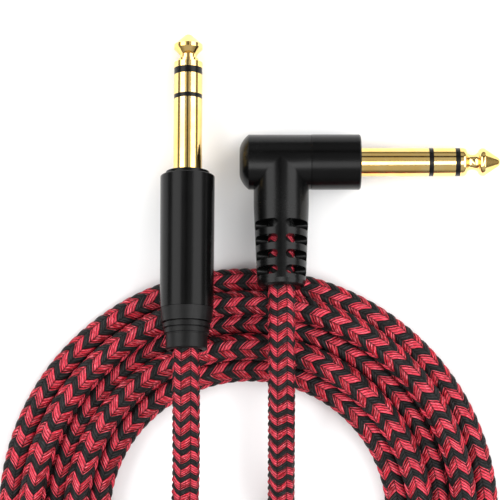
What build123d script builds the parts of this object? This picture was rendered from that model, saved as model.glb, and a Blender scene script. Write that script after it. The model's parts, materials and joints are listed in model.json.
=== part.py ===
from build123d import *
import os
from math import cos, hypot, pi, radians, sin, sqrt, tan

# ---------------------------------------------------------------- driving dimensions, in mm and degrees
CABLE_D = 6.0
CABLE_R = CABLE_D / 2

FINGER_R = 3.175  # the 6.35 mm contact finger of both plugs
INSULATOR_R = 3.13  # insulating rings stand a hair below the contacts
ROD_R = 0.9  # tip rod through the middle
RING_TUBE_R = 1.75  # ring contact's inner tube
ROD_SLEEVE_R = 1.25  # insulation round the tip rod
TUBE_SLEEVE_R = 2.15  # insulation round the ring tube
REAR_INSULATOR_R = 2.8  # narrower than the finger, so that its wall stays distinct

STRAIGHT_TILT = 12.0  # the straight plug's rear lies on the coil and its tip on the floor
ANGLED_TILT = 12.5  # the elbow lies on the floor and its strain relief on the coil

# Lengths along the finger, from the housing's front face: sleeve, insulator, ring, insulator, tip
STRAIGHT_STEPS = (16.6, 1.0, 4.6, 1.55, 8.0)
TIP_RIM_BACK = 2.5  # the straight tip's widest rim, behind the finger's end
ANGLED_STEPS = (15.1, 1.0, 4.85, 1.05, 9.0)

# Straight plug housing, measured back from its front face
COLLAR_R, COLLAR_L = 4.8, 0.9
SHELL_R, SHELL_REAR_R, SHELL_L, SHELL_BORE_R = 6.0, 5.85, 29.6, 4.9
SHELL_LIP_R, SHELL_LIP_L = 4.4, 1.6
THREAD_R, THREAD_L, THREAD_PITCH, THREAD_DEPTH = 4.85, 5.6, 1.0, 0.4
NECK_R, NECK_L = 3.4, 1.2  # plain neck behind the thread, which carries the cable clamp
GLAND_L, GLAND_BORE_R = 9.2, 3.5
RUN_GAP = 0.05  # between the gland, which grips the cable, and the shell, which turns round it
LINER_R, LINER_BORE_R, LINER_L = 4.7, 4.3, 19.0

# Right-angle plug housing, measured from the elbow's centre, where finger axis and stem axis cross
ELBOW_TO_FACE = 17.6
HEAD_R, HEAD_BACK = 6.1, 7.2
CAP_RISE, CAP_FLAT_R, CAP_PLUG_R, CAP_PLUG_L = 2.0, 3.1, 4.85, 1.8
CAP_BULGE = 0.3  # of the rounded chamfer past its chord
CAVITY_R = 4.9
ANGLED_COLLAR_R, ANGLED_COLLAR_L = 6.15, 11.0
FLANGE_R = 4.6  # sleeve contact's shoulder inside the collar
BOSS_R = 3.5  # and its boss, which ends level with the collar's face
STEM_END_R, STEM_TAPER_FROM, STEM_L = 5.3, 10.0, 28.5
STEM_SPLIT = 8.4  # the elbow ends and the strain relief begins this far along the stem
STEM_BORE_R = 3.2
SLOT_ROWS, SLOT_PITCH, SLOT_H, SLOT_FIRST, RIB_HALF = 4, 3.42, 1.95, 15.0, 0.85

# Coil of four and a half turns: neighbouring passes nest, so every second one rides higher
COIL_R, COIL_STEP, COIL_PASSES = 52.8, 4.83, 5  # outer pass's centre line, and the step inwards
NEST_RISE = sqrt(CABLE_D**2 - COIL_STEP**2)
NEAR_HALF_Y = -20.0  # nearer than this, four passes lie side by side on the floor

# Places from the coil's centre, and that centre from the origin
SHOULDER_Y, STRAIGHT_X = 76.8, -13.36  # the straight plug's front face and axis
ELBOW_X, ELBOW_Y = 7.3, 79.2
COIL_X, COIL_Y = -18.27, -72.50

STRAIGHT_CABLE_START = 24.0  # the jacket's end, behind the straight plug's front face
STRAIGHT_CABLE_BEND = 52.0  # the first bend, far enough back for the gland to slide before it
ANGLED_CABLE_START = 17.2  # the jacket's end, along the stem from the elbow's centre

os.makedirs("parts", exist_ok=True)
nodes = {}


def turned(*points):
    """A solid of revolution about local Z from (radius, height) corners."""
    face = make_face(Polyline(*[(r, 0, z) for r, z in points], close=True))
    return revolve(face, Axis.Z)


def tube(outer, inner, low, high):
    return turned((inner, low), (outer, low), (outer, high), (inner, high))


def rod(radius, low, high):
    return turned((0, low), (radius, low), (radius, high), (0, high))


# ---------------------------------------------------------------- contact finger, +Z to its tip
def tip_start_edges(base, rear, side):
    """The half outline's first edges: the long rod from its rear, the base's underside and its side."""
    return [
        Line((0, 0, -rear), (ROD_R, 0, -rear)),
        Line((ROD_R, 0, -rear), (ROD_R, 0, base)),
        Line((ROD_R, 0, base), (FINGER_R, 0, base)),
        Line((FINGER_R, 0, base), (FINGER_R, 0, base + side)),
    ]


def tip_end_edges(radius, low, high, rear):
    """The half outline's last edges: the rounded nose and the axis."""
    nose = ThreePointArc((radius, 0, low), (0.62 * radius, 0, low + 0.75 * (high - low)), (0.2, 0, high))
    return [nose, Line((0.2, 0, high), (0, 0, high)), Line((0, 0, high), (0, 0, -rear))]


def stepped_tip(base, rear):
    """Tip of the straight plug: base, small flange, neck, long shoulder, rim and cone."""
    r = FINGER_R
    profile = Polyline(
        (r, 0, base + 1.3), (2.3, 0, base + 1.45), (2.3, 0, base + 2.2),
        (1.85, 0, base + 2.35), (1.85, 0, base + 3.2), (r, 0, base + 4.6), (r, 0, base + 5.5),
        (0.95, 0, base + 7.65),
    )
    edges = tip_start_edges(base, rear, 1.3) + list(profile.edges())
    return revolve(make_face(edges + tip_end_edges(0.95, base + 7.65, base + 8.0, rear)), Axis.Z)


def waisted_tip(base, rear):
    """Tip of the right-angle plug: rounded base, concave waist, ball and cone."""
    r = FINGER_R
    edges = tip_start_edges(base, rear, 0.7) + [
        ThreePointArc((r, 0, base + 0.7), (2.85, 0, base + 1.35), (2.2, 0, base + 1.6)),
        ThreePointArc((2.2, 0, base + 1.6), (1.62, 0, base + 2.9), (2.2, 0, base + 4.1)),
        ThreePointArc((2.2, 0, base + 4.1), (r - 0.12, 0, base + 4.75), (r - 0.1, 0, base + 5.5)),
        Line((r - 0.1, 0, base + 5.5), (1.0, 0, base + 8.55)),
    ]
    return revolve(make_face(edges + tip_end_edges(1.0, base + 8.55, base + 9.0, rear)), Axis.Z)


def finger(name, steps, tip_shape, rear):
    """The contact pieces of one plug. rear is how far the inner rods run back, as (tip, ring, sleeve)."""
    sleeve_end = steps[0]
    ring_start = sleeve_end + steps[1]
    ring_end = ring_start + steps[2]
    tip_start = ring_end + steps[3]
    tip_rear, ring_rear, body_rear = rear
    ring = tube(FINGER_R, RING_TUBE_R - 0.5, ring_start, ring_end)
    ring += tube(RING_TUBE_R, RING_TUBE_R - 0.5, -ring_rear, ring_start)
    return {
        f"{name}_tip_contact": tip_shape(tip_start, tip_rear),
        f"{name}_tip_insulator": tube(INSULATOR_R, ROD_R, ring_end, tip_start)
        + tube(ROD_SLEEVE_R, ROD_R, -ring_rear, ring_end),
        f"{name}_ring_contact": ring,
        f"{name}_ring_insulator": tube(INSULATOR_R, RING_TUBE_R, sleeve_end, ring_start)
        + tube(TUBE_SLEEVE_R, RING_TUBE_R, -body_rear, sleeve_end),
        f"{name}_sleeve_contact": tube(FINGER_R, TUBE_SLEEVE_R, -body_rear, sleeve_end),
    }


# ---------------------------------------------------------------- straight plug, local frame
def straight_plug():
    thread_end = -COLLAR_L - THREAD_L
    body_end = thread_end - NECK_L
    ring_lug_z = body_end - 0.8
    tip_lug_z = ring_lug_z - 0.6
    shell_low = -COLLAR_L - SHELL_L
    made = finger("straight", STRAIGHT_STEPS, stepped_tip, (2.2 - tip_lug_z, -tip_lug_z, 0))
    grooves = []
    for k in range(int(THREAD_L / THREAD_PITCH)):
        z = -COLLAR_L - 0.4 - k * THREAD_PITCH
        grooves += [(THREAD_R, z), (THREAD_R - THREAD_DEPTH, z - 0.3), (THREAD_R, z - 0.6)]
    made["straight_sleeve_contact"] += turned(
        (TUBE_SLEEVE_R, 0), (COLLAR_R - 0.6, 0), (COLLAR_R - 0.6, -COLLAR_L), (THREAD_R, -COLLAR_L),
        *grooves, (THREAD_R, thread_end), (NECK_R, thread_end), (NECK_R, body_end), (TUBE_SLEEVE_R, body_end),
    )
    made["straight_ring_insulator"] += tube(TUBE_SLEEVE_R, RING_TUBE_R, body_end, 0)
    made["straight_front_collar"] = tube(COLLAR_R, COLLAR_R - 0.6, -COLLAR_L, 0)
    made["straight_rear_insulator"] = tube(REAR_INSULATOR_R, RING_TUBE_R, ring_lug_z, body_end)
    ring_tab = Pos(0, -2.5, ring_lug_z - 3.2) * Box(2.0, 0.4, 6.4)
    made["straight_ring_lug"] = tube(3.0, RING_TUBE_R, ring_lug_z - 0.4, ring_lug_z) + ring_tab
    tip_tab = Pos(0, 1.95, tip_lug_z - 3.4) * Box(1.8, 0.4, 6.8)
    made["straight_tip_lug"] = tube(2.2, ROD_R, tip_lug_z - 0.4, tip_lug_z) + tip_tab
    cuff_high, cuff_low = -20.8, -26.0
    arm_high = body_end + 1.0
    arm = Pos(3.75, 0, (arm_high + cuff_high - 1) / 2) * Box(0.5, 2.4, arm_high - cuff_high + 1)
    cuff = tube(CABLE_R + 0.8, CABLE_R + 0.15, cuff_low, cuff_high)
    cuff -= Pos(-3.5, 0, (cuff_low + cuff_high) / 2) * Box(4, 2.6, 6)
    made["straight_cable_clamp"] = arm + cuff + tube(4.0, NECK_R, body_end, arm_high)
    made["straight_liner"] = tube(LINER_R, LINER_BORE_R, body_end - 0.3 - LINER_L, body_end - 0.3)
    start = -STRAIGHT_CABLE_START
    made["straight_white_core"] = Pos(0, 1.0, 0) * rod(0.65, start, tip_lug_z - 3.5)
    made["straight_red_core"] = Pos(0, -1.4, 0) * rod(0.65, start, ring_lug_z - 3.2)
    made["straight_shield_pigtail"] = Pos(2.4, 0, 0) * rod(0.55, start, tip_lug_z - 6.2)
    made["straight_shell"] = turned(
        (SHELL_BORE_R, -COLLAR_L), (SHELL_R - 0.15, -COLLAR_L), (SHELL_R, -COLLAR_L - 0.2),
        (SHELL_REAR_R, shell_low), (SHELL_LIP_R, shell_low), (SHELL_LIP_R, shell_low + SHELL_LIP_L),
        (SHELL_BORE_R, shell_low + SHELL_LIP_L),
    )
    made["straight_gland"] = gland(shell_low)
    return made


def gland(top):
    """Rear strain relief: a tapered section, two ribs and a tail, with a neck held by the shell's lip."""
    outline = [(5.75, top - RUN_GAP), (5.4, top - 3.05), (4.75, top - 3.15), (4.75, top - 3.4)]
    for radius in (5.15, 4.9):
        high = outline[-1][1]
        outline += [(radius, high), (radius, high - 0.95), (4.6, high - 1.0), (4.6, high - 1.25)]
    tail = outline[-1][1] - 0.05
    outline += [(4.53, tail), (4.53, top - GLAND_L + 0.3), (4.23, top - GLAND_L)]
    inside = [(GLAND_BORE_R, top - GLAND_L), (GLAND_BORE_R, top + 2.6), (4.7, top + 2.6)]
    lip_top, neck_r = top + SHELL_LIP_L + RUN_GAP, SHELL_LIP_R - RUN_GAP
    neck = [(4.7, lip_top), (neck_r, lip_top), (neck_r, top - RUN_GAP)]
    return turned(*inside, *neck, *outline)


# ---------------------------------------------------------------- right-angle plug, local frame
# Its origin is the finger's front face, the elbow's centre is behind it, and the stem runs along -Y.
def on_stem(shape):
    """Moves a shape made along +Z from the elbow's centre onto the stem."""
    return Pos(0, 0, -ELBOW_TO_FACE) * Rot(90, 0, 0) * shape


def window(middle):
    """The four openings of one row round the stem, with round ends beside the four ribs."""
    offset = RIB_HALF + SLOT_H / 2
    ring = tube(8.0, STEM_BORE_R - 0.4, middle - SLOT_H / 2, middle + SLOT_H / 2)
    ribs = Box(2 * offset, 20, 4) + Box(20, 2 * offset, 4)
    row = ring - Pos(0, 0, middle) * ribs
    for side in (-offset, offset):
        row += Pos(0, side, middle) * Rot(0, 90, 0) * Cylinder(SLOT_H / 2, 16)
        row += Pos(side, 0, middle) * Rot(90, 0, 0) * Cylinder(SLOT_H / 2, 16)
    return row


def strain_relief():
    outer = turned(
        (0, STEM_SPLIT), (HEAD_R, STEM_SPLIT), (HEAD_R, STEM_TAPER_FROM), (STEM_END_R + 0.05, STEM_L - 1.4),
        (STEM_END_R - 0.3, STEM_L - 0.45), (STEM_END_R - 1.0, STEM_L), (0, STEM_L),
    )
    for row in range(SLOT_ROWS):
        outer -= window(SLOT_FIRST + row * SLOT_PITCH)
    return outer - rod(STEM_BORE_R, 0, 2 * STEM_L)


def head_cap(back):
    """Low cap with a rounded chamfer, which closes the elbow's cavity."""
    chord = hypot(HEAD_R - CAP_FLAT_R, CAP_RISE)
    middle_r = (HEAD_R + CAP_FLAT_R) / 2 + CAP_BULGE * CAP_RISE / chord
    middle = back - CAP_RISE / 2 - CAP_BULGE * (HEAD_R - CAP_FLAT_R) / chord
    edges = [
        Line((0, 0, back + CAP_PLUG_L), (CAP_PLUG_R, 0, back + CAP_PLUG_L)),
        Line((CAP_PLUG_R, 0, back + CAP_PLUG_L), (CAP_PLUG_R, 0, back)),
        Line((CAP_PLUG_R, 0, back), (HEAD_R, 0, back)),
        ThreePointArc((HEAD_R, 0, back), (middle_r, 0, middle), (CAP_FLAT_R, 0, back - CAP_RISE)),
        Line((CAP_FLAT_R, 0, back - CAP_RISE), (0, 0, back - CAP_RISE)),
        Line((0, 0, back - CAP_RISE), (0, 0, back + CAP_PLUG_L)),
    ]
    return revolve(make_face(edges), Axis.Z)


def angled_plug():
    back, front = -ELBOW_TO_FACE - HEAD_BACK, -ANGLED_COLLAR_L
    flange_low, flange_high = front + 0.5, -1.2
    ring_lug_z = flange_low - 2.4
    tip_lug_z = -ELBOW_TO_FACE + 1.4
    made = finger("angled", ANGLED_STEPS, waisted_tip, (0.6 - tip_lug_z, 0.6 - ring_lug_z, -flange_low))
    made["angled_sleeve_contact"] += tube(FLANGE_R, TUBE_SLEEVE_R, flange_low, flange_high)
    made["angled_sleeve_contact"] += tube(BOSS_R, TUBE_SLEEVE_R, flange_high, 0)
    made["angled_collar"] = turned(
        (BOSS_R, 0), (ANGLED_COLLAR_R - 0.3, 0), (ANGLED_COLLAR_R, -0.3), (ANGLED_COLLAR_R, front + 0.15),
        (ANGLED_COLLAR_R - 0.15, front), (FLANGE_R, front), (FLANGE_R, flange_high), (BOSS_R, flange_high),
    )
    elbow = rod(HEAD_R, back, front) + on_stem(rod(HEAD_R, 0, STEM_SPLIT))
    elbow -= rod(CAVITY_R, back, -ELBOW_TO_FACE + 5.0)
    elbow -= on_stem(rod(STEM_BORE_R, 0, STEM_SPLIT))
    made["angled_head"] = elbow - rod(3.2, -ELBOW_TO_FACE, front)
    made["angled_strain_relief"] = on_stem(strain_relief())
    made["angled_head_cap"] = head_cap(back)
    made["angled_rear_insulator"] = tube(REAR_INSULATOR_R, RING_TUBE_R, ring_lug_z, flange_low)
    ring_tab = Pos(0, -3.4, ring_lug_z - 0.2) * Box(1.8, 2.0, 0.4)
    made["angled_ring_lug"] = tube(3.0, RING_TUBE_R, ring_lug_z - 0.4, ring_lug_z) + ring_tab
    tip_tab = Pos(0, -3.6, tip_lug_z - 0.2) * Box(1.8, 3.4, 0.4)
    made["angled_tip_lug"] = tube(2.2, ROD_R, tip_lug_z - 0.4, tip_lug_z) + tip_tab
    start = ANGLED_CABLE_START
    made["angled_white_core"] = on_stem(Pos(0, 0.2, 0) * rod(0.65, 2.4, start))
    made["angled_red_core"] = on_stem(Pos(0, 2.3, 0) * rod(0.65, 5.2, start))
    made["angled_shield_pigtail"] = on_stem(Pos(0, -1.8, 0) * rod(0.55, 4.6, start))
    made["angled_heat_shrink"] = on_stem(tube(3.1, 2.98, 9.0, start))
    return made


# ---------------------------------------------------------------- where the plugs lie
def axis_height(tilt, along, radius):
    """Height of a tilted cylinder's axis, at a point that far behind the rim that touches the floor."""
    return along * sin(radians(tilt)) + radius * cos(radians(tilt))


rim = sum(STRAIGHT_STEPS) - TIP_RIM_BACK
shoulder = Vector(COIL_X + STRAIGHT_X, COIL_Y + SHOULDER_Y, axis_height(STRAIGHT_TILT, rim, FINGER_R))
elbow = Vector(COIL_X + ELBOW_X, COIL_Y + ELBOW_Y, ANGLED_COLLAR_R)
forward = Vector(0, cos(radians(STRAIGHT_TILT)), -sin(radians(STRAIGHT_TILT)))
stem_back = Vector(0, -cos(radians(ANGLED_TILT)), sin(radians(ANGLED_TILT)))
straight_at = Plane(origin=shoulder, x_dir=(-1, 0, 0), z_dir=forward).location
angled_at = Plane(
    origin=elbow + Vector(ELBOW_TO_FACE, 0, 0), x_dir=Vector(1, 0, 0).cross(stem_back), z_dir=(1, 0, 0)
).location

for name, shape in straight_plug().items():
    nodes[name] = straight_at * shape
for name, shape in angled_plug().items():
    nodes[name] = angled_at * shape


# ---------------------------------------------------------------- the cable
def from_coil(*points):
    return [Vector(COIL_X + x, COIL_Y + y, z) for x, y, z in points]


# Behind the straight plug, down to the floor and round inside the coil to its innermost pass
straight_route = [shoulder - forward * STRAIGHT_CABLE_START, shoulder - forward * STRAIGHT_CABLE_BEND]
straight_route += from_coil(
    (-13.5, 6.0, 15.6), (-14.9, -5.6, 10.4), (-11.5, -18.5, 5.6), (-2.5, -27.0, 3.3), (9.5, -30.0, 3.05),
    (20.8, -25.4, 3.1), (29.4, -17.0, 3.05), (33.4, -5.0, 3.1), (33.5, 7.0, 3.05),
)
# Behind the right-angle plug, down to the floor, over the coil's near half and round to its outermost pass
angled_route = [elbow + stem_back * ANGLED_CABLE_START, elbow + stem_back * (ANGLED_CABLE_START + STRAIGHT_CABLE_START)]
angled_route += from_coil(
    (7.3, 14.2, 9.6), (7.3, 1.0, 3.6), (7.3, -11.0, 3.4), (7.4, -26.5, 10.0), (6.3, -45.0, 11.0),
    (-2.0, -60.5, 10.4), (-17.5, -70.0, 6.8), (-36.0, -69.0, 3.3), (-50.5, -57.0, 3.05),
    (-57.0, -39.0, 3.1), (-56.0, -20.0, 3.05), (-53.0, -2.0, 3.1),
)


def cable_tube(name, route):
    """A round tube along straight runs and tangent arcs, each arc as large as its two runs allow."""
    radii = []
    for before, at, after in zip(route, route[1:], route[2:]):
        turn = radians((at - before).get_angle(after - at))
        radii.append(0.45 * min((at - before).length, (after - at).length) / tan(turn / 2))
    path = FilletPolyline(*route, radius=radii)
    section = Plane(origin=route[0], z_dir=route[1] - route[0]) * Circle(CABLE_R)
    solid = sweep(section, path=path)
    print(name, "length", round(path.length, 1), "radii", [round(r, 1) for r in radii])
    print(name, "volume share", round(solid.volume / (pi * CABLE_R**2 * path.length), 4))
    return solid


nodes["straight_lead"] = cable_tube("straight_lead", straight_route)
nodes["angled_lead"] = cable_tube("angled_lead", angled_route)

outer, inner = COIL_R + CABLE_R, COIL_R - (COIL_PASSES - 1) * COIL_STEP - CABLE_R
top = CABLE_D + NEST_RISE
coil = turned(
    (inner, 0.05), (outer, 0.05), (outer, 4.0), (outer - 1.3, 6.0), (outer - 3.8, 6.2), (outer - 5.3, 8.6),
    (outer - 7.3, top), (inner + 7.3, top), (inner + 5.3, 8.6), (inner + 3.8, 6.2), (inner + 1.3, 6.0),
    (inner, 4.0),
)
near_top = CABLE_D + 0.2
coil -= Pos(0, NEAR_HALF_Y - 50, near_top + 10) * Box(200, 100, 20)
nodes["coil"] = Pos(COIL_X, COIL_Y, 0) * coil

for name, shape in nodes.items():
    export_step(shape, f"parts/{name}.step")
box = Compound(children=[s for n, s in nodes.items() if n not in ("straight_lead", "angled_lead", "coil")])
print("plugs", box.bounding_box())
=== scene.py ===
import json
from math import cos, pi, radians, sin, sqrt

import bpy
import numpy as np
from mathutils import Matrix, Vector


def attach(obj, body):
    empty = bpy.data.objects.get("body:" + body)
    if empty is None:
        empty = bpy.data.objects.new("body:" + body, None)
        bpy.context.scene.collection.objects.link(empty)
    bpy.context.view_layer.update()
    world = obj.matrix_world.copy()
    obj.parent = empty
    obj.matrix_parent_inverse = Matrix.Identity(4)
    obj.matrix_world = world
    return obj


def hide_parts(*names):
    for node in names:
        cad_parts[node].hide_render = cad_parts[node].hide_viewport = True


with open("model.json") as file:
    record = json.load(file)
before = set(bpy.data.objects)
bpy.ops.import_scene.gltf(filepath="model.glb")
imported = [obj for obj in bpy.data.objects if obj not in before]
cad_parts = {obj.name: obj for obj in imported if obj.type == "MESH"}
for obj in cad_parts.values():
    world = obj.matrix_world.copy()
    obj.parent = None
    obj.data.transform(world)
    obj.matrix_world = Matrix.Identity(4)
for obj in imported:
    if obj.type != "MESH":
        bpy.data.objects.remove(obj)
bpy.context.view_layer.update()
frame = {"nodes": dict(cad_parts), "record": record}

MM = 0.001

# ---------------------------------------------------------------- sizes, as in part.py
CABLE_R = 3.0 * MM
COIL = Vector((-18.27 * MM, -72.50 * MM, 0.0))  # the coil's centre on the floor
OUTER_PASS_R, STEP, PASSES = 52.8 * MM, 4.83 * MM, 5
NEAR_OUTER_R, NEAR_STEP = 56.3 * MM, 6.05 * MM  # where four passes lie side by side
FLOOR_Z = 3.05 * MM  # centre line of cable on the floor
COIL_STEPS = 24  # control points in each turn
END_ANGLE = 1620  # four and a half turns

STRAIGHT_TILT, ANGLED_TILT = radians(12.0), radians(12.5)
FINGER_R, FINGER_RIM = 3.175 * MM, 29.25 * MM  # contact radius, and the tip's rim ahead of the shoulder
SHOULDER = COIL + Vector(
    (-13.36 * MM, 76.8 * MM, FINGER_RIM * sin(STRAIGHT_TILT) + FINGER_R * cos(STRAIGHT_TILT))
)
REARWARD = Vector((0, -cos(STRAIGHT_TILT), sin(STRAIGHT_TILT)))
ELBOW = COIL + Vector((7.3 * MM, 79.2 * MM, 6.15 * MM))
STEM_BACK = Vector((0, -cos(ANGLED_TILT), sin(ANGLED_TILT)))

# ---------------------------------------------------------------- camera, looking straight down
CAMERA_Z, SENSOR_WIDTH = 0.46, 36.0
VIEW_WIDTH, VIEW_Z = 111.0 * MM, 6 * MM  # what the picture spans, at the height of the plugs' axes
camera_data = bpy.data.cameras.new("camera")
camera = bpy.data.objects.new("camera", camera_data)
bpy.context.scene.collection.objects.link(camera)
camera.location = COIL + Vector((0.4 * MM, 59.7 * MM, CAMERA_Z))
camera_data.sensor_width = SENSOR_WIDTH
camera_data.lens = SENSOR_WIDTH * (CAMERA_Z - VIEW_Z) / VIEW_WIDTH
bpy.context.scene.camera = camera


# ---------------------------------------------------------------- the cable's route
FLATTENING, NESTING = (188, 236), (304, 352)  # degrees round the coil, on the near side
CROSSING = (240, 300)  # degrees over which a turn moves out to the next pass
# How far the passes wander to each side, and the rate and start of that wave, in degrees
WANDER, WANDER_RATE, WANDER_START = 0.25 * MM, 2.3, 40
# How far behind the shoulder and the elbow the cable starts, is held straight, and first bends
STRAIGHT_HOLD, ANGLED_HOLD = (24 * MM, 38 * MM, 52 * MM), (17.2 * MM, 27.2 * MM, 41.2 * MM)


def smooth(low, high, x):
    """0 below low and 1 above high, with an eased climb between."""
    t = min(max((x - low) / (high - low), 0.0), 1.0)
    return t * t * (3 - 2 * t)


def near_share(angle):
    """1 where the passes lie flat side by side on the near side, 0 where they nest."""
    a = angle % 360
    return smooth(*FLATTENING, a) * (1 - smooth(*NESTING, a))


def coil_point(angle):
    """Centre line of the coil, wound from its innermost pass at 0 degrees outward."""
    turn, a = divmod(angle, 360)
    index = PASSES - 1 - turn - smooth(*CROSSING, a)
    share = near_share(angle)
    step = STEP + (NEAR_STEP - STEP) * share
    outer = OUTER_PASS_R + (NEAR_OUTER_R - OUTER_PASS_R) * share
    wander = WANDER * sin(radians(WANDER_RATE * angle + WANDER_START)) * (1 - share)
    radius = outer - index * step + wander
    rise = sqrt(max((2 * CABLE_R) ** 2 - step**2, 0.0)) * (0.5 - 0.5 * cos(pi * index))
    out = radius / cos(pi / COIL_STEPS)
    return COIL + Vector((out * cos(radians(a)), out * sin(radians(a)), FLOOR_Z + rise))


def from_coil(*points):
    """Points given in millimetres from the coil's centre."""
    return [COIL + Vector(p) * MM for p in points]


straight_route = [SHOULDER + REARWARD * behind for behind in STRAIGHT_HOLD] + from_coil(
    (-13.5, 6.0, 15.6), (-14.9, -5.6, 10.4), (-11.5, -18.5, 5.6), (-2.5, -27.0, 3.3), (9.5, -30.0, 3.05),
    (20.8, -25.4, 3.1), (29.4, -17.0, 3.05),
)
angled_route = [ELBOW + STEM_BACK * behind for behind in ANGLED_HOLD] + from_coil(
    (7.3, 14.2, 9.6), (7.3, 1.0, 3.6), (7.3, -11.0, 3.4), (7.4, -26.5, 10.0), (6.3, -45.0, 11.0),
    (-2.0, -60.5, 10.4), (-17.5, -70.0, 6.8), (-36.0, -69.0, 3.3), (-50.5, -57.0, 3.05),
    (-57.0, -39.0, 3.1), (-56.0, -20.0, 3.05),
)
TURN_STEP = 360 / COIL_STEPS
coil_route = [coil_point(TURN_STEP * (k - 0.5)) for k in range(int(END_ANGLE / TURN_STEP) + 2)]


def route_spline(points):
    """One smooth curve through the route, and the points read from it."""
    data = bpy.data.curves.new("cable_line", "CURVE")
    data.dimensions = "3D"
    spline = data.splines.new("NURBS")
    spline.points.add(len(points) - 1)
    for at, p in zip(spline.points, points):
        at.co = (*p, 1.0)
    spline.order_u = 3
    spline.use_endpoint_u = True
    spline.resolution_u = 24
    line = bpy.data.objects.new("cable_line", data)
    bpy.context.scene.collection.objects.link(line)
    bpy.context.view_layer.update()
    mesh = bpy.data.meshes.new_from_object(line)
    found = np.array([v.co[:] for v in mesh.vertices])
    bpy.data.objects.remove(line)
    return found


def evenly(points, spacing):
    """The same line with its points evenly spaced."""
    steps = np.linalg.norm(np.diff(points, axis=0), axis=1)
    keep = np.concatenate([[True], steps > 1e-9])
    points = points[keep]
    along = np.concatenate([[0.0], np.cumsum(np.linalg.norm(np.diff(points, axis=0), axis=1))])
    count = int(along[-1] / spacing) + 1
    at = np.linspace(0, along[-1], count)
    return np.stack([np.interp(at, along, points[:, k]) for k in range(3)], axis=1), at


def carried_frames(points):
    """At each point, a direction that starts upward and never twists about the line, and its partner."""
    tangents = np.gradient(points, axis=0)
    tangents /= np.linalg.norm(tangents, axis=1)[:, None]
    ups = np.empty_like(points)
    up = np.array([0.0, 0.0, 1.0])
    for k, t in enumerate(tangents):
        up = up - t * np.dot(up, t)
        up /= np.linalg.norm(up)
        ups[k] = up
    return ups, np.cross(tangents, ups)


# ---------------------------------------------------------------- braided cable
COLUMNS = 8  # columns of floats round the cable
ZIG = 0.46  # how far a float climbs across its column, in colour repeats
LEAD_PITCH, COIL_PITCH = 3.05 * MM, 4.75 * MM  # the braid is pushed together near the plugs
RING_SPACING, RING_POINTS = 0.3 * MM, 72
FLOAT_DEPTH = 0.48 * MM  # from a float's top down to the gaps
FLOAT_RISE = 0.02 * MM  # from the cable's radius up to a float's top
ACROSS_POWER, ALONG_POWER = 0.45, 0.55  # under 1, which gives the floats steep edges and flat tops
EDGE_SHARE = 0.35  # of a float's height that is left at its column's edges
RED_SHARE = 0.58  # of each repeat
# How far from each end of the cable the braid eases from the leads' pitch to the coil's
STRAIGHT_EASING, ANGLED_EASING = (90 * MM, 130 * MM), (120 * MM, 170 * MM)
# Amplitude in repeats, lobes round the cable, turn per repeat and start of each unevenness of the braid
WOBBLES = ((0.032, 3, 0.9, 0.0), (0.026, 5, -1.7, 1.0))


def eased(low, high, x):
    """smooth() for an array of x."""
    t = np.clip((x - low) / (high - low), 0, 1)
    return t * t * (3 - 2 * t)


def uneven(angle, repeats):
    """How far the braid's repeats are shifted along the cable, for each ring and each angle round it."""
    return sum(
        size * np.sin(lobes * angle[None, :] + turn * repeats[:, None] + start)
        for size, lobes, turn, start in WOBBLES
    )


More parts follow.
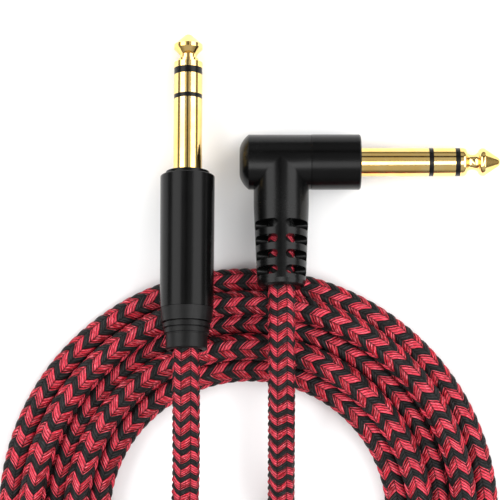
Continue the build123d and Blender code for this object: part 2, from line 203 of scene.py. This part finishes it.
def braided_cable(points, along):
    """The cable's tube with the braid's floats in relief. Its UVs count columns round and repeats along."""
    total = along[-1]
    in_coil = eased(*STRAIGHT_EASING, along) * eased(*ANGLED_EASING, total - along)
    pitch = LEAD_PITCH + (COIL_PITCH - LEAD_PITCH) * in_coil
    repeats = np.concatenate([[0.0], np.cumsum(RING_SPACING / pitch[1:])])
    twist = in_coil  # one column further round in the coil than at the leads
    ups, sides = carried_frames(points)
    turn = np.linspace(0, 1, RING_POINTS, endpoint=False)
    columns = turn[None, :] * COLUMNS + 0.5 + twist[:, None]
    climb = 1 - np.abs(columns % 2 - 1)
    angle = turn * 2 * pi
    repeat_at = repeats[:, None] + uneven(angle, repeats)
    phase = repeat_at - ZIG * climb
    across = np.sin(pi * (columns % 1)) ** ACROSS_POWER
    bulge = np.abs(np.sin(2 * pi * phase)) ** ALONG_POWER
    height = bulge * (EDGE_SHARE + (1 - EDGE_SHARE) * across)
    radius = CABLE_R + FLOAT_RISE - FLOAT_DEPTH * (1 - height)
    ring = (
        ups[:, None, :] * np.cos(angle)[None, :, None] + sides[:, None, :] * np.sin(angle)[None, :, None]
    )
    verts = (points[:, None, :] + ring * radius[:, :, None]).reshape(-1, 3)

    rings = len(points)
    i, j = np.meshgrid(np.arange(rings - 1), np.arange(RING_POINTS), indexing="ij")
    k = (j + 1) % RING_POINTS
    this_ring, next_ring = i * RING_POINTS, (i + 1) * RING_POINTS
    quads = np.stack([this_ring + j, this_ring + k, next_ring + k, next_ring + j], axis=-1).reshape(-1, 4)
    mesh = bpy.data.meshes.new("cable")
    mesh.vertices.add(len(verts))
    mesh.vertices.foreach_set("co", verts.ravel())
    sizes = np.full(len(quads) + 2, 4)
    sizes[-2:] = RING_POINTS  # the two end caps
    first_ring = np.arange(RING_POINTS)
    loops = np.concatenate([quads.ravel(), first_ring[::-1], (rings - 1) * RING_POINTS + first_ring])
    mesh.loops.add(len(loops))
    mesh.loops.foreach_set("vertex_index", loops)
    mesh.polygons.add(len(sizes))
    mesh.polygons.foreach_set("loop_start", np.concatenate([[0], np.cumsum(sizes)[:-1]]))
    mesh.polygons.foreach_set("loop_total", sizes)
    uv = np.zeros((len(loops), 2))
    around = turn * COLUMNS + 0.5
    step = COLUMNS / RING_POINTS
    corner_i = np.stack([i, i, i + 1, i + 1], axis=-1).reshape(-1)
    corner_u = np.stack([around[j], around[j] + step, around[j] + step, around[j]], axis=-1).reshape(-1)
    uv[: len(corner_i), 0] = corner_u + twist[corner_i]
    corner_j = np.stack([j, k, k, j], axis=-1).reshape(-1)
    uv[: len(corner_i), 1] = repeat_at[corner_i, corner_j]
    layer = mesh.uv_layers.new(name="braid")
    layer.data.foreach_set("uv", uv.ravel())
    mesh.polygons.foreach_set("use_smooth", np.ones(len(sizes), dtype=bool))
    mesh.update(calc_edges=True)
    mesh.validate()
    piece = bpy.data.objects.new("braided_cable", mesh)
    bpy.context.scene.collection.objects.link(piece)
    return piece


line, line_at = evenly(route_spline(straight_route + coil_route + angled_route[::-1]), RING_SPACING)
cable = braided_cable(line, line_at)
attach(cable, "cable_and_plugs")
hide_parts("straight_lead", "coil", "angled_lead")


# ---------------------------------------------------------------- materials
NOISE_ROUGHNESS = 0.55
YARNS = 6  # in each repeat, three to a float
FIBRES = 24  # in each repeat
DEEP_RED, BRIGHT_RED = (0.25, 0.003, 0.010, 1), (0.58, 0.012, 0.032, 1)
LEFT_LEANING_PAINTED_LIGHT_RED = (1.0, 0.075, 0.13, 1)  # painted light: mixed into the floats that lean left, to make them look as if they catch more light
# Painted highlights and painted shade along the red fibres, keyed to the streaks that also raise and lower
# the bump
RED_STRAND_PAINTED_HIGHLIGHT, RED_STRAND_PAINTED_SHADE = (1.0, 0.20, 0.25, 1), (0.16, 0.002, 0.005, 1)
DEEP_CHARCOAL, LIGHT_CHARCOAL = (0.004, 0.004, 0.004, 1), (0.018, 0.017, 0.018, 1)
# Painted highlights along the charcoal fibres
CHARCOAL_STRAND_PAINTED_HIGHLIGHT = (0.060, 0.055, 0.057, 1)
DEEP_GOLD, PALE_GOLD = (1.0, 0.66, 0.20, 1), (1.0, 0.74, 0.31, 1)
# Of each black: level of colour, lowest and highest roughness, scale and depth of grain, specular level
BLACKS = {
    "shell": (0.002, 0.20, 0.26, 2400.0, 0.002 * MM, 0.17),
    "moulding": (0.002, 0.22, 0.28, 1900.0, 0.002 * MM, 0.22),
    "rubber": (0.004, 0.34, 0.46, 1500.0, 0.006 * MM, 0.20),
    "insulator": (0.004, 0.22, 0.32, 2200.0, 0.004 * MM, 0.2),
}
# Of each plain material inside the plugs: darker and lighter colour, metallic, roughness, scale of grain
PLAIN = {
    "lug_brass": ((0.62, 0.48, 0.26), (0.78, 0.62, 0.36), 1.0, 0.32, 500.0),
    "white_core": ((0.74, 0.74, 0.70), (0.84, 0.84, 0.80), 0.0, 0.45, 500.0),
    "red_core": ((0.48, 0.02, 0.02), (0.60, 0.04, 0.03), 0.0, 0.45, 500.0),
    "copper": ((0.62, 0.30, 0.16), (0.84, 0.48, 0.28), 1.0, 0.35, 2500.0),
    "liner": ((0.66, 0.66, 0.60), (0.78, 0.78, 0.72), 0.0, 0.25, 500.0),
}
CARD_BLACK = ((0.01, 0.01, 0.01), (0.015, 0.015, 0.015), 0.0, 0.9, 500.0)


class Nodes:
    """Short ways to build a material's node tree."""

    def __init__(self, name):
        self.material = bpy.data.materials.new(name)
        self.material.use_nodes = True
        self.tree = self.material.node_tree
        self.shader = self.tree.nodes["Principled BSDF"]

    def add(self, kind, **settings):
        node = self.tree.nodes.new(kind)
        for key, value in settings.items():
            setattr(node, key, value)
        return node

    def feed(self, socket, value):
        if isinstance(value, bpy.types.NodeSocket):
            self.tree.links.new(value, socket)
        else:
            socket.default_value = value

    def math(self, operation, *values):
        node = self.add("ShaderNodeMath", operation=operation)
        for socket, value in zip(node.inputs, values):
            self.feed(socket, value)
        return node.outputs[0]

    def mix(self, share, a, b, blend="MIX"):
        node = self.add("ShaderNodeMix", data_type="RGBA", blend_type=blend)
        for name, value in zip(("Factor_Float", "A_Color", "B_Color"), (share, a, b)):
            self.feed(next(s for s in node.inputs if s.identifier == name), value)
        return next(s for s in node.outputs if s.identifier == "Result_Color")

    def span(self, value, low, high, to_low=0.0, to_high=1.0):
        node = self.add("ShaderNodeMapRange", interpolation_type="SMOOTHSTEP")
        for socket, v in zip(node.inputs, (value, low, high, to_low, to_high)):
            self.feed(socket, v)
        return node.outputs[0]

    def noise(self, scale, detail):
        node = self.add("ShaderNodeTexNoise")
        self.feed(node.inputs["Vector"], self.add("ShaderNodeTexCoord").outputs["Object"])
        self.feed(node.inputs["Scale"], scale)
        self.feed(node.inputs["Detail"], detail)
        self.feed(node.inputs["Roughness"], NOISE_ROUGHNESS)
        return node.outputs["Fac"]

    def vector(self, x, y):
        node = self.add("ShaderNodeCombineXYZ")
        self.feed(node.inputs[0], x)
        self.feed(node.inputs[1], y)
        return node.outputs[0]

    def bump(self, height, distance, strength):
        node = self.add("ShaderNodeBump")
        self.feed(node.inputs["Height"], height)
        self.feed(node.inputs["Distance"], distance)
        self.feed(node.inputs["Strength"], strength)
        self.feed(self.shader.inputs["Normal"], node.outputs[0])

    def set(self, **values):
        for key, value in values.items():
            self.feed(self.shader.inputs[key.replace("_", " ")], value)
        return self.material


def braid_material():
    """Floats of three yarns each, red and charcoal by turns, with painted shade in the gaps between yarns,
    floats and columns, and fine fibres with painted highlights and painted shade.
    """
    n = Nodes("braid")
    uv = n.add("ShaderNodeUVMap", uv_map="braid").outputs[0]
    split = n.add("ShaderNodeSeparateXYZ")
    n.feed(split.inputs[0], uv)
    column, repeat = split.outputs[0], split.outputs[1]
    phase = n.math("MULTIPLY_ADD", n.math("PINGPONG", column, 1.0), -ZIG, repeat)
    is_red = n.math("LESS_THAN", n.math("FRACT", phase), RED_SHARE)

    def edge(value):
        """0 in the middle of each unit of value and 1 at its ends."""
        return n.math("MULTIPLY", n.math("ABSOLUTE", n.math("SUBTRACT", n.math("FRACT", value), 0.5)), 2.0)

    float_edge = edge(n.math("MULTIPLY", phase, 2.0))
    column_edge = edge(column)
    yarn = n.math("MULTIPLY", phase, YARNS)
    yarn_edge = edge(yarn)
    fibre_edge = edge(n.math("MULTIPLY", phase, FIBRES))
    chance = n.add("ShaderNodeTexWhiteNoise", noise_dimensions="3D")
    n.feed(chance.inputs["Vector"], n.vector(n.math("FLOOR", column), n.math("FLOOR", yarn)))
    mottle = n.noise(1400.0, 5.0)
    strands = n.add("ShaderNodeTexNoise")
    along_yarn = n.vector(n.math("MULTIPLY", column, 2.2), n.math("MULTIPLY", phase, 26.0))
    n.feed(strands.inputs["Vector"], along_yarn)
    n.feed(strands.inputs["Scale"], 1.0)
    n.feed(strands.inputs["Detail"], 3.0)
    strand = strands.outputs["Fac"]
    left_leaning_painted_light = n.math("GREATER_THAN", n.math("PINGPONG", n.math("FLOOR", column), 1.0), 0.5)
    red = n.mix(n.span(chance.outputs["Value"], 0, 1), DEEP_RED, BRIGHT_RED)
    # Painted light: the floats that lean left get a lighter red, as if they catch more light
    red = n.mix(left_leaning_painted_light, red, n.mix(0.4, red, LEFT_LEANING_PAINTED_LIGHT_RED))
    # Painted highlights on the raised streaks and painted shade on the low ones, along each red yarn
    red = n.mix(n.span(strand, 0.50, 0.68), red, RED_STRAND_PAINTED_HIGHLIGHT)
    red = n.mix(n.span(strand, 0.44, 0.30), red, RED_STRAND_PAINTED_SHADE)
    dark = n.mix(chance.outputs["Value"], DEEP_CHARCOAL, LIGHT_CHARCOAL)
    # Painted highlights on the raised streaks of the charcoal yarns
    dark = n.mix(n.span(strand, 0.54, 0.75), dark, CHARCOAL_STRAND_PAINTED_HIGHLIGHT)
    colour = n.mix(is_red, dark, red)
    # Painted shade: the colour is darkened where yarns, floats and columns meet, on top of the relief in the
    # mesh
    painted_gap_shade = n.span(yarn_edge, 0.45, 1.0, 1.0, 0.20)
    painted_gap_shade = n.math("MULTIPLY", painted_gap_shade, n.span(float_edge, 0.72, 0.98, 1.0, 0.12))
    painted_gap_shade = n.math("MULTIPLY", painted_gap_shade, n.span(column_edge, 0.74, 1.0, 1.0, 0.22))
    painted_gap_grey = n.add("ShaderNodeCombineColor")
    for socket in painted_gap_grey.inputs[:3]:
        n.feed(socket, painted_gap_shade)
    colour = n.mix(1.0, colour, painted_gap_grey.outputs[0], "MULTIPLY")
    height = n.math("SUBTRACT", 1.0, n.math("POWER", yarn_edge, 2.2))
    height = n.math("MULTIPLY_ADD", fibre_edge, -0.16, height)
    height = n.math("MULTIPLY_ADD", strand, 0.6, height)
    n.bump(height, 0.12 * MM, 1.0)
    roughness = n.span(mottle, 0.3, 0.7, 0.45, 0.68)
    return n.set(Base_Color=colour, Roughness=roughness, Specular_IOR_Level=0.20)


def gold_material():
    """Polished plate with a faint grain and slightly uneven tone and gloss."""
    n = Nodes("gold")
    tone = n.noise(160.0, 3.0)
    marks = n.noise(2600.0, 3.0)
    colour = n.mix(n.span(tone, 0.3, 0.7), DEEP_GOLD, PALE_GOLD)
    n.bump(marks, 0.004 * MM, 0.25)
    return n.set(Base_Color=colour, Metallic=1.0, Roughness=n.span(marks, 0.35, 0.75, 0.10, 0.16))


def black_material(name, level, rough_low, rough_high, grain, depth, gloss):
    """Black plastic, rubber or coating with a fine grain and slightly uneven gloss."""
    n = Nodes(name)
    cloud, fine = n.noise(90.0, 4.0), n.noise(grain, 3.0)
    darkest = (level * 0.8, level * 0.8, level * 0.82, 1)
    lightest = (level * 1.25, level * 1.25, level * 1.25, 1)
    colour = n.mix(n.span(cloud, 0.3, 0.7), darkest, lightest)
    roughness = n.span(n.math("ADD", cloud, fine), 0.7, 1.3, rough_low, rough_high)
    n.bump(fine, depth, 0.6)
    return n.set(Base_Color=colour, Roughness=roughness, Specular_IOR_Level=gloss)


def plain_material(name, low, high, metallic, roughness, grain):
    """One tone with a fine unevenness, for the small pieces inside the plugs and for the studio's card."""
    n = Nodes(name)
    fine = n.noise(grain, 4.0)
    n.bump(fine, 0.02 * MM, 0.4)
    colour = n.mix(n.span(fine, 0.3, 0.7), (*low, 1), (*high, 1))
    uneven_gloss = n.span(fine, 0.3, 0.7, roughness * 0.8, roughness * 1.2)
    return n.set(Base_Color=colour, Metallic=metallic, Roughness=uneven_gloss)


materials = {"braid": braid_material(), "gold": gold_material()}
for slot, look in BLACKS.items():
    materials[slot] = black_material(slot, *look)
for slot, look in PLAIN.items():
    materials[slot] = plain_material(slot, *look)
for part in frame["record"]["subparts"]:
    piece = frame["nodes"][part["node"]]
    piece.data.materials.clear()
    piece.data.materials.append(materials[part["material_slot"]])
cable.data.materials.append(materials["braid"])


# ---------------------------------------------------------------- studio
FLOOR_HALF, FLOOR_DROP = 3.0, 0.05 * MM
CARD_HALF_WIDTH, CARD_HALF_LENGTH = 0.034, 0.08
CARD_PLACE = (-9 * MM, 0.152, 0.30)  # x and y from the straight plug's shoulder, z from the floor
LIGHT_AIM = COIL + Vector((0, 0.05, 0))
# Name, place from LIGHT_AIM, size and power
SOFTBOXES = (
    ("left_softbox", (-0.56, 0.05, 0.50), (1.1, 0.52), 5.4),
    ("right_softbox", (0.56, 0.05, 0.50), (1.1, 0.52), 5.4),
    ("overhead_softbox", (0.10, -0.11, 0.80), (1.0, 0.26), 3.2),
)
# y of the directions round the sky's dark strip: white up to and from the first two, dark between the others
SKY_WHITE, SKY_DARK = (0.56, 0.80), (0.62, 0.72)


def sheet(name, half_width, half_length, material, place):
    """A flat rectangle of the studio."""
    corners = [(-half_width, -half_length, 0), (half_width, -half_length, 0),
               (half_width, half_length, 0), (-half_width, half_length, 0)]
    mesh = bpy.data.meshes.new(name)
    mesh.from_pydata(corners, [], [(0, 1, 2, 3)])
    mesh.materials.append(material)
    piece = bpy.data.objects.new(name, mesh)
    bpy.context.scene.collection.objects.link(piece)
    piece.location = place
    return piece


def floor():
    """Plain pale floor just under the cable."""
    n = Nodes("floor")
    tone = n.noise(6.0, 3.0)
    n.set(Base_Color=n.mix(tone, (0.90, 0.90, 0.90, 1), (0.93, 0.93, 0.93, 1)), Roughness=0.8)
    sheet("floor", FLOOR_HALF, FLOOR_HALF, n.material, (0, 0, -FLOOR_DROP))


def softbox(name, place, size, power):
    """A rectangular light at a place given from LIGHT_AIM, which it faces."""
    data = bpy.data.lights.new(name, "AREA")
    data.shape, data.size, data.size_y, data.energy = "RECTANGLE", *size, power
    lamp = bpy.data.objects.new(name, data)
    bpy.context.scene.collection.objects.link(lamp)
    lamp.location = LIGHT_AIM + Vector(place)
    lamp.rotation_euler = (LIGHT_AIM - lamp.location).to_track_quat("-Z", "Y").to_euler()


def black_card():
    """Card above and ahead of the straight plug, which draws the dark line along its polished finger."""
    aside, ahead, height = CARD_PLACE
    place = (SHOULDER.x + aside, SHOULDER.y + ahead, height)
    black = plain_material("card", *CARD_BLACK)
    card = sheet("black_card", CARD_HALF_WIDTH, CARD_HALF_LENGTH, black, place)
    card.visible_camera = False
    card.visible_shadow = False


def sky():
    """White light that strengthens with height, with a dark strip across it on the plugs' side."""
    world = bpy.data.worlds.new("sky")
    bpy.context.scene.world = world
    world.use_nodes = True
    tree = world.node_tree
    split = tree.nodes.new("ShaderNodeSeparateXYZ")
    tree.links.new(tree.nodes.new("ShaderNodeTexCoord").outputs["Generated"], split.inputs[0])
    ramp = tree.nodes.new("ShaderNodeValToRGB")
    tree.links.new(split.outputs[1], ramp.inputs[0])
    stops = ramp.color_ramp.elements
    for stop, position in zip(stops, SKY_WHITE):
        stop.position, stop.color = position, (1, 1, 1, 1)
    for position in SKY_DARK:
        stops.new(position).color = (0.06, 0.05, 0.04, 1)
    rise = tree.nodes.new("ShaderNodeMapRange")
    tree.links.new(split.outputs[2], rise.inputs["Value"])
    for name, value in (("From Min", 0.05), ("From Max", 0.45), ("To Min", 0.10), ("To Max", 0.50)):
        rise.inputs[name].default_value = value
    back = tree.nodes["Background"]
    tree.links.new(ramp.outputs[0], back.inputs["Color"])
    tree.links.new(rise.outputs["Result"], back.inputs["Strength"])


floor()
for box in SOFTBOXES:
    softbox(*box)
black_card()
sky()
bpy.context.scene.view_settings.view_transform = "Standard"
